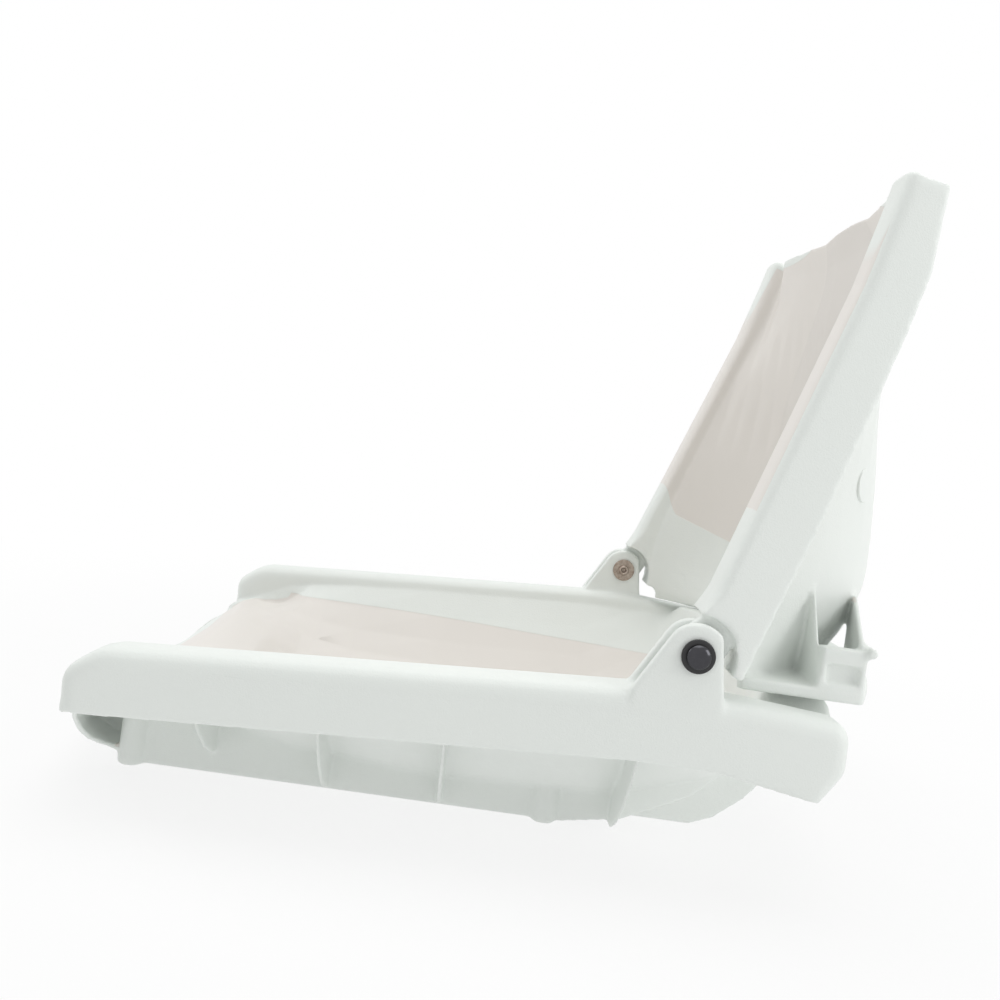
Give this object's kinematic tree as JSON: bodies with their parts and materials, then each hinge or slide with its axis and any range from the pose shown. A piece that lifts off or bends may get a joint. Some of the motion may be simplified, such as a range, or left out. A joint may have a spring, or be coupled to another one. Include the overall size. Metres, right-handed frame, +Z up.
{
  "type": "folding boat seat",
  "caption": "Fold-down boat seat shell: a moulded pan with side rails, ribs and threaded feet below, and a moulded back that turns on riveted fork hinges, open and without cushions.",
  "frame": {"origin": "Under the middle of the whole seat, back open, in the plane of the feet's faces, where the seat is bolted down.", "axes": "+X is the sitter's left, -Y is the front of the seat, +Z is up."},
  "size_m": [0.4476, 0.5854, 0.483],
  "materials": {
    "white_plastic": "moulded, pebble-grained outside, smooth where the cushions go",
    "dark_chrome": "dark plated, polished",
    "black_plastic": "satin",
    "plated_steel": "plated, dull",
    "nylon": "natural",
    "brass": "machined"
  },
  "bodies": {
    "seat": {"seat_shell": "white_plastic", "hinge_rivet_left": "dark_chrome", "hinge_rivet_right": "dark_chrome", "outer_washer_left": "black_plastic", "outer_washer_right": "black_plastic", "inner_washer_left": "plated_steel", "inner_washer_right": "plated_steel", "mounting_insert_front_left": "brass", "mounting_insert_front_right": "brass", "mounting_insert_rear_left": "brass", "mounting_insert_rear_right": "brass"},
    "back": {"back_shell": "white_plastic", "hinge_bushing_left": "nylon", "hinge_bushing_right": "nylon", "back_plug_left": "white_plastic", "back_plug_right": "white_plastic"}
  },
  "joints": [
    {"name": "back_fold", "type": "hinge", "parent": "seat", "child": "back", "pos_m": [0, 0.13092, 0.15538], "axis": [1, 0, 0], "range_deg": [0, 92]}
  ]
}
